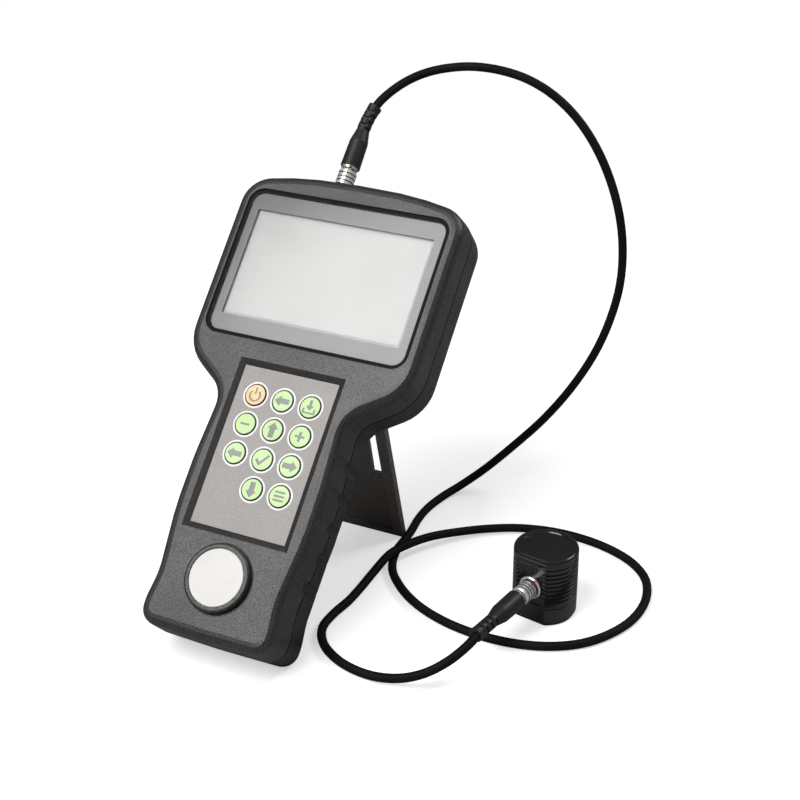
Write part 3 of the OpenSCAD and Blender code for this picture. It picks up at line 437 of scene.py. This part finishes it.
def cable_looks():
    """Cable, its connectors and the probe."""
    return {
        "plated": plated("plug_chrome", grey(0.86, 0.87), grey(0.76, 0.77), 0.2,
                         metallic=0.6, groove=0.0012),
        "gold": plated("nut_pale", (0.87, 0.8, 0.64, 1), (0.78, 0.7, 0.52, 1), 0.2, metallic=0.6),
        "red_ink": satin("dot_red", srgb(178, 24, 44), srgb(190, 34, 54), 0.4),
        "cable": satin("cable_jacket", srgb(14, 14, 15), srgb(22, 22, 23), 0.6,
                       grain=0.0006, shine=0.1, edge=0.0002),
        "boot": satin("boot_rubber", srgb(27, 27, 28), srgb(37, 37, 38), 0.45,
                      grain=0.0006, shine=0.35, edge=0.0002),
        "probe_black": satin("probe_plastic", srgb(10, 10, 12), srgb(17, 17, 19), 0.16,
                             grain=0.0005, shine=0.7, edge=0.0005),
    }


# Nodes whose look is not that of their material slot; the stand's look is lightened, as painted
# light
OWN_LOOKS = {"stand": "stand", "top_boot": "boot", "probe_boot": "boot"}


def dress_nodes(looks):
    """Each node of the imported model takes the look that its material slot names, or its own."""
    slots = {part["node"]: part["material_slot"] for part in frame["record"]["subparts"]}
    for name, node in frame["nodes"].items():
        node.data.materials.clear()
        node.data.materials.append(looks[OWN_LOOKS.get(name, slots[name])])


def place_in_scene(name, data):
    """A new object in the scene that shows some data."""
    made = bpy.data.objects.new(name, data)
    bpy.context.scene.collection.objects.link(made)
    return made


def make_camera():
    """The photograph's camera, with its axes made square to each other."""
    back = CAMERA_RIGHT.cross(CAMERA_UP).normalized()
    up = back.cross(CAMERA_RIGHT).normalized()
    turn = Matrix((up.cross(back), up, back)).transposed().to_4x4()
    camera = place_in_scene("camera", bpy.data.cameras.new("camera"))
    camera.data.lens = CAMERA_LENS
    camera.data.sensor_width = CAMERA_SENSOR
    camera.matrix_world = Matrix.Translation(CAMERA_AT) @ turn
    bpy.context.scene.camera = camera


def spline(a, b, c, d, t):
    """Point of a smooth curve from b to c, with a before it and d after it."""
    return 0.5 * (2 * b + (c - a) * t + (2 * a - 5 * b + 4 * c - d) * t ** 2
                  + (3 * b - a - 3 * c + d) * t ** 3)


def smooth_path(points, steps):
    """Points of a smooth curve through the given ones."""
    points = [Vector(p) for p in points]
    last = len(points) - 1
    path = []
    for i in range(last):
        around = [points[max(0, i - 1)], points[i], points[i + 1], points[min(last, i + 2)]]
        path += [spline(*around, k / steps) for k in range(steps)]
    return path + [points[last]]


def make_cable(looks):
    """The cable from the top plug's boot to the probe's, a round tube along its route."""
    path = smooth_path(CABLE_ROUTE, CABLE_STEPS)
    curve = bpy.data.curves.new("cable_run", "CURVE")
    curve.dimensions = "3D"
    curve.bevel_depth = CABLE_DIAMETER / 2
    curve.bevel_resolution = CABLE_SIDES_RESOLUTION
    curve.use_fill_caps = True
    line = curve.splines.new("POLY")
    line.points.add(len(path) - 1)
    for point, place in zip(line.points, path):
        point.co = (*place, 1)
    line.use_smooth = True
    curve.materials.append(looks["cable"])
    cable = place_in_scene("cable_run", curve)
    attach(cable, BODY)
    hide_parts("cable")


def add_piece(name, draw, look, body=BODY):
    """A new piece from what draw puts in an empty mesh, in the case's axes."""
    mesh = bpy.data.meshes.new(name)
    drawn = bmesh.new()
    draw(drawn)
    bmesh.ops.recalc_face_normals(drawn, faces=drawn.faces)
    drawn.transform(CASE)
    drawn.to_mesh(mesh)
    drawn.free()
    mesh.materials.append(look)
    made = place_in_scene(name, mesh)
    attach(made, body)


def add_loop(drawn, outline, z, at):
    """Points of an outline at a height, moved by at."""
    return [drawn.verts.new((x + at[0], y + at[1], z)) for x, y in outline]


def join_loops(drawn, loops):
    """Faces from each loop of points to the next, and from the last to the first."""
    for a, b in zip(loops, loops[1:] + loops[:1]):
        for i in range(len(a)):
            j = (i + 1) % len(a)
            drawn.faces.new((a[i], a[j], b[j], b[i]))


def slab(drawn, outline, bottom, top, at=(0, 0)):
    """A flat shape with thickness, from its outline."""
    low = add_loop(drawn, outline, bottom, at)
    high = add_loop(drawn, outline, top, at)
    drawn.faces.new(high)
    drawn.faces.new(reversed(low))
    for i in range(len(outline)):
        j = (i + 1) % len(outline)
        drawn.faces.new((low[i], low[j], high[j], high[i]))


def hollow_slab(drawn, outer, inner, bottom, top, at):
    """A flat ring with thickness between two outlines that have as many points."""
    corners = ((outer, top), (inner, top), (inner, bottom), (outer, bottom))
    join_loops(drawn, [add_loop(drawn, outline, z, at) for outline, z in corners])


def circle(radius, steps=ROUND_STEPS):
    angles = [math.tau * i / steps for i in range(steps)]
    return [(radius * math.cos(angle), radius * math.sin(angle)) for angle in angles]


def rounded_box(size, corner):
    """Outline of a box whose corners are rounded."""
    half = (size[0] / 2 - corner, size[1] / 2 - corner)
    outline = []
    for turn, (sx, sy) in enumerate(((1, 1), (-1, 1), (-1, -1), (1, -1))):
        for step in range(CORNER_STEPS + 1):
            angle = math.radians(90 * (turn + step / CORNER_STEPS))
            outline.append((sx * half[0] + corner * math.cos(angle),
                            sy * half[1] + corner * math.sin(angle)))
    return outline


def turned(outline, quarter_turns):
    """The outline after some quarter turns to the left."""
    for _ in range(quarter_turns):
        outline = [(-y, x) for x, y in outline]
    return outline


def bar(width, height, at=(0, 0)):
    """Outline of a box round a place."""
    return [(at[0] + sx * width / 2, at[1] + sy * height / 2)
            for sx, sy in ((1, 1), (-1, 1), (-1, -1), (1, -1))]


def stroke(points, width, sharpest=0.3):
    """Outline of a bent line of an even width, whose sharpest corners are blunt."""
    points = [Vector(point) for point in points]
    last = len(points) - 1
    sides = []
    for i, point in enumerate(points):
        after = (points[min(last, i + 1)] - point).normalized()
        first = (point - points[i - 1]).normalized() if i else after
        second = after if i < last else first
        mean = (first + second).normalized()
        reach = width / 2 / max(sharpest, mean.dot(first))
        sides.append((point, Vector((-mean.y, mean.x)) * reach))
    return [tuple(p + s) for p, s in sides] + [tuple(p - s) for p, s in reversed(sides)]


def arc(radius, shift, angles):
    """Points of an arc round the upright, moved up by shift, at angles in degrees."""
    return [(radius * math.sin(math.radians(a)), radius * math.cos(math.radians(a)) + shift)
            for a in angles]


# Symbols of the keys, in millimetres from the middle of the key
ARROW_UP = [(0, 3.9), (-2.6, 0.9), (-1.25, 0.9), (-1.25, -3.6), (1.25, -3.6), (1.25, 0.9),
            (2.6, 0.9)]
STORE_ARROW = [(0, -1.5), (1.9, 0.6), (0.55, 0.6), (0.55, 3.5), (-0.55, 3.5), (-0.55, 0.6),
               (-1.9, 0.6)]
STORE_TRAY = [(-2.9, -0.8), (-2.9, -2.9), (2.9, -2.9), (2.9, -0.8)]
CHECK_MARK = [(-2.9, -0.1), (-0.9, -2.3), (3.1, 2.5)]
POWER_LINE = 0.75
POWER_ARC = arc(2.75, -0.3, range(38, 323, 12))
SYMBOLS = {
    "power": [stroke(POWER_ARC, POWER_LINE), bar(POWER_LINE, 3.2, (0, 2.1))],
    "back": [turned(ARROW_UP, 1)],
    "store": [STORE_ARROW, stroke(STORE_TRAY, 0.7)],
    "minus": [bar(4.6, 0.95)],
    "up": [ARROW_UP],
    "plus": [bar(4.8, 1.0), bar(1.0, 4.8)],
    "left": [turned(ARROW_UP, 1)],
    "enter": [stroke(CHECK_MARK, 1.1)],
    "right": [turned(ARROW_UP, 3)],
    "down": [turned(ARROW_UP, 2)],
    "menu": [bar(5.2, 0.95, (0, y)) for y in (2, 0, -2)],
}


def draw_rim(drawn, at):
    """Dark outline on the edge of a key, over its bevel."""
    bevel = KEY_RADIUS - KEY_EDGE
    side = KEY_RADIUS + INK
    profile = [(RIM_INNER, KEY_TOP - INK), (RIM_INNER, KEY_TOP + INK), (bevel, KEY_TOP + INK),
               (side, KEY_TOP - KEY_EDGE), (side, PANEL_TOP), (bevel, PANEL_TOP)]
    join_loops(drawn, [add_loop(drawn, circle(radius), z, at) for radius, z in profile])


def draw_symbol(drawn, name, lift, at):
    """A key's symbol, each part a little higher than the one before it."""
    for i, outline in enumerate(SYMBOLS[name]):
        slab(drawn, outline, KEY_TOP - INK, KEY_TOP + lift * (1 + INK_STEP * i), at)


def make_keys(looks):
    """White rings on the panel, and on each key its dark outline, its symbol, and under the
    symbol a dark shifted copy that is a painted shadow.
    """
    for name, (column, row) in KEY_CELLS.items():
        at = (column * KEY_PITCH, KEYS_Y - row * KEY_PITCH)
        shadow_at = (at[0] + SYMBOL_SHADOW_SHIFT[0], at[1] + SYMBOL_SHADOW_SHIFT[1])
        body = f"key_{name}_body"
        add_piece(f"ring_{name}", lambda m: hollow_slab(
            m, circle(RING_OUTER), circle(RING_INNER), PANEL_TOP, RING_TOP, at),
            looks["white_ink"])
        add_piece(f"outline_{name}", lambda m: draw_rim(m, at), looks["dark_ink"], body)
        # Painted shadow: a dark copy of the symbol, shifted, under the grey one
        add_piece(f"symbol_painted_shadow_{name}", lambda m: draw_symbol(m, name, INK / 2, shadow_at),
                  looks["dark_ink"], body)
        add_piece(f"symbol_{name}", lambda m: draw_symbol(m, name, INK, at),
                  looks["grey_ink"], body)


def draw_dot(drawn, plug, turn, reach, height, outward):
    """A flat spot on a plug, facing along its axis or away from it."""
    place = (Matrix.Rotation(math.radians(turn), 4, "Z") @ Matrix.Translation((reach, 0, height))
             @ Matrix.Rotation(0 if outward else QUARTER, 4, "Y"))
    slab(drawn, circle(DOT_RADIUS, DOT_STEPS), -DOT_SINK, DOT_SINK)
    drawn.transform(CASE.inverted() @ plug @ place)


def make_dots(looks):
    """Red dots on each socket's flange and on the sleeve that locks to it."""
    plugs = (("top", TOP_PLUG, TOP_DOT_TURN), ("probe", PROBE_PLUG, PROBE_DOT_TURN))
    for side, plug, turn in plugs:
        add_piece(f"{side}_flange_dot", lambda m: draw_dot(m, plug, turn, *FLANGE_DOT, True),
                  looks["red_ink"])
        add_piece(f"{side}_sleeve_dot", lambda m: draw_dot(m, plug, turn, *SLEEVE_DOT, False),
                  looks["red_ink"], f"{side}_lock")


def make_screen(looks):
    """Printed border under the window, and the lit area of the display."""
    at = (0, SCREEN_Y)
    add_piece("window_border", lambda m: hollow_slab(
        m, rounded_box(WINDOW_SIZE, WINDOW_CORNER), rounded_box(VIEW_SIZE, VIEW_CORNER),
        PRINT_BOTTOM, PRINT_TOP, at), looks["border"])
    add_piece("screen_lit", lambda m: slab(
        m, rounded_box(LIT_SIZE, VIEW_CORNER), LIT_BOTTOM, LIT_TOP, at), looks["lit"])


def new_links(links, *pairs):
    """Join each pair of an output and an input."""
    for output, socket in pairs:
        links.new(output, socket)


def floor_look():
    """White for the camera, whiter far away, with the shadows kept, and darker in mirrors."""
    look = Look("floor_white", roughness=FLOOR_ROUGHNESS)
    nodes = look.nodes
    glow, white = (nodes.new("ShaderNodeEmission") for _ in range(2))
    glow.inputs["Strength"].default_value = FLOOR_GLOW
    shade, bounce, mirrored = (nodes.new("ShaderNodeBsdfDiffuse") for _ in range(3))
    for node, level in ((shade, FLOOR_SHADE), (bounce, FLOOR_BOUNCE), (mirrored, FLOOR_MIRRORED)):
        node.inputs["Color"].default_value = grey(level)
    seen = nodes.new("ShaderNodeAddShader")
    unseen, faded, out = (nodes.new("ShaderNodeMixShader") for _ in range(3))
    rays = nodes.new("ShaderNodeLightPath")
    far = nodes.new("ShaderNodeVectorMath")
    far.operation = "LENGTH"
    new_links(
        look.links,
        (glow.outputs[0], seen.inputs[0]),
        (shade.outputs[0], seen.inputs[1]),
        (rays.outputs["Is Glossy Ray"], unseen.inputs["Fac"]),
        (bounce.outputs[0], unseen.inputs[1]),
        (mirrored.outputs[0], unseen.inputs[2]),
        (look.place, far.inputs[0]),
        (look.remap(far.outputs["Value"], *FLOOR_FADE, 0, 1), faded.inputs["Fac"]),
        (seen.outputs[0], faded.inputs[1]),
        (white.outputs[0], faded.inputs[2]),
        (rays.outputs["Is Camera Ray"], out.inputs["Fac"]),
        (unseen.outputs[0], out.inputs[1]),
        (faded.outputs[0], out.inputs[2]),
        (out.outputs[0], look.output.inputs["Surface"]))
    return look.material


def make_floor():
    """A wide floor under the gauge, which is part of the stage and not of the model."""
    mesh = bpy.data.meshes.new("floor")
    corners = [(x, y, 0) for x, y in bar(FLOOR_SIZE, FLOOR_SIZE)]
    mesh.from_pydata(corners, [], [range(len(corners))])
    mesh.materials.append(floor_look())
    floor = place_in_scene("floor", mesh)


def make_world():
    """Soft light that is brighter overhead than at the sides, behind a white background."""
    world = bpy.data.worlds.new("studio")
    bpy.context.scene.world = world
    world.use_nodes = True
    nodes = world.node_tree.nodes
    light = nodes["Background"]
    white = nodes.new("ShaderNodeBackground")
    white.inputs["Color"].default_value = grey(1)
    place = nodes.new("ShaderNodeTexCoord")
    split = nodes.new("ShaderNodeSeparateXYZ")
    ramp = nodes.new("ShaderNodeValToRGB")
    stops = ramp.color_ramp.elements
    while len(stops) < len(SKY):
        stops.new(1)
    for stop, (at, level) in zip(stops, SKY):
        stop.position = at
        stop.color = grey(level)
    rays = nodes.new("ShaderNodeLightPath")
    out = nodes.new("ShaderNodeMixShader")
    new_links(
        world.node_tree.links,
        (place.outputs["Generated"], split.inputs[0]),
        (split.outputs["Z"], ramp.inputs["Fac"]),
        (ramp.outputs["Color"], light.inputs["Color"]),
        (rays.outputs["Is Camera Ray"], out.inputs["Fac"]),
        (light.outputs[0], out.inputs[1]),
        (white.outputs[0], out.inputs[2]),
        (out.outputs[0], nodes["World Output"].inputs["Surface"]))


def add_lamp(name, at, size, watts):
    """A round area lamp that faces the gauge."""
    lamp = bpy.data.lights.new(name, "AREA")
    lamp.shape = "DISK"
    lamp.size = size
    lamp.energy = watts
    made = place_in_scene(name, lamp)
    made.location = at
    made.rotation_mode = "QUATERNION"
    made.rotation_quaternion = (Vector(AIM) - Vector(at)).to_track_quat("-Z", "Y")


def make_lamps():
    """A broad softbox above and in front, and a weak one behind for the edges."""
    add_lamp("softbox", **SOFTBOX)
    add_lamp("rim", **RIM_LAMP)


bpy.context.scene.view_settings.view_transform = "Standard"
make_camera()
LOOKS = {**case_looks(), **keypad_looks(), **inner_looks(), **cable_looks()}
make_cable(LOOKS)
dress_nodes(LOOKS)
make_screen(LOOKS)
make_keys(LOOKS)
make_dots(LOOKS)
make_floor()
make_world()
make_lamps()
